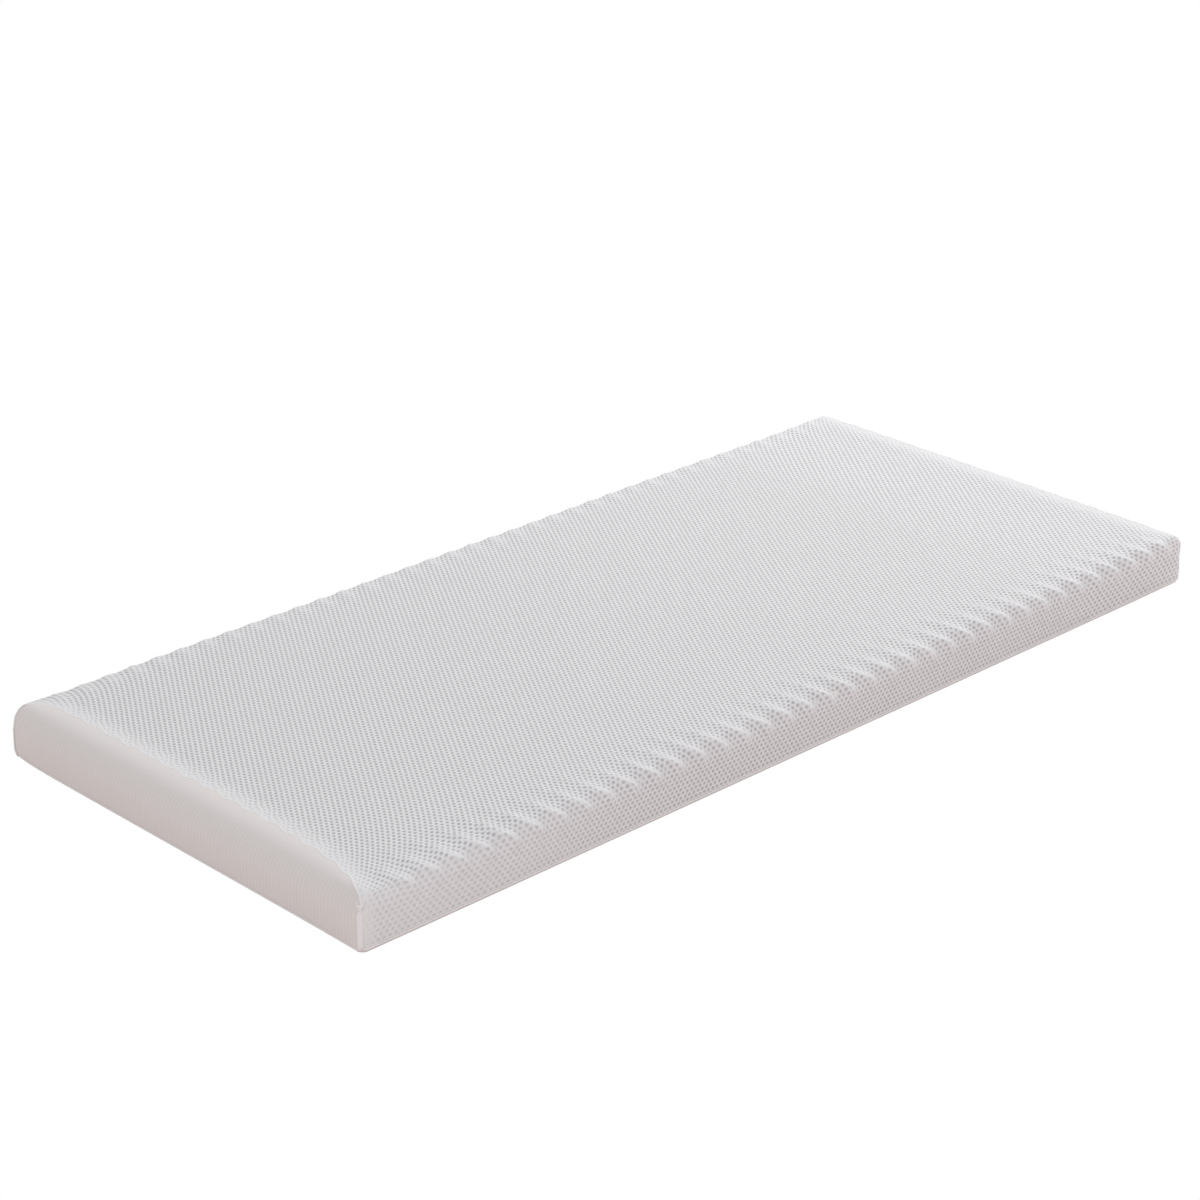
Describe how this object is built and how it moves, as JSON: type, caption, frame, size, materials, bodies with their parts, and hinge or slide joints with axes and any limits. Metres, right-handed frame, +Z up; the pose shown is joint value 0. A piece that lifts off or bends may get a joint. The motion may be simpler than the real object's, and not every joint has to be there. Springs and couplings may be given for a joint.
{
  "type": "memory foam mattress",
  "caption": "Long flat foam mattress with a white air-mesh top and sides, smooth knit ends, rolled seams and a zip across the head end.",
  "frame": {"origin": "middle of the underside, where the mattress rests on its bed base", "axes": "+X along the length to the head end with the zip, +Y across the width, +Z up to the lying surface"},
  "size_m": [2.0052, 0.9, 0.1],
  "materials": {
    "memory_foam": "matte",
    "base_foam": "matte",
    "liner_knit": "matte",
    "mesh_knit": "matte",
    "end_knit": "satin",
    "base_knit": "matte",
    "seam_roll": "matte",
    "zip_tape": "matte",
    "zip_coil": "gloss",
    "zip_metal": "satin"
  },
  "bodies": {
    "mattress": {"memory_foam_layer": "memory_foam", "base_foam_layer": "base_foam", "core_sleeve": "liner_knit", "mesh_cover": "mesh_knit", "foot_end_panel": "end_knit", "head_panel_upper": "end_knit", "head_panel_lower": "end_knit", "base_panel": "base_knit", "foot_seam": "seam_roll", "head_seam": "seam_roll", "base_seam": "seam_roll", "zip_tape_upper": "zip_tape", "zip_tape_lower": "zip_tape", "zip_coil_upper": "zip_coil", "zip_coil_lower": "zip_coil", "zip_closed_stop": "zip_metal", "zip_open_stop": "zip_metal"},
    "slider": {"zip_slider": "zip_metal"},
    "pull_tab": {"zip_pull_tab": "zip_metal"}
  },
  "joints": [
    {"name": "zip_run", "type": "slide", "parent": "mattress", "child": "slider", "axis": [0, -1, 0], "range_m": [0, 0.747]},
    {"name": "tab_turn", "type": "hinge", "parent": "slider", "child": "pull_tab", "pos_m": [1.0036, 0.3737, 0.05], "axis": [0, 0, 1], "range_deg": [0, 175]}
  ]
}
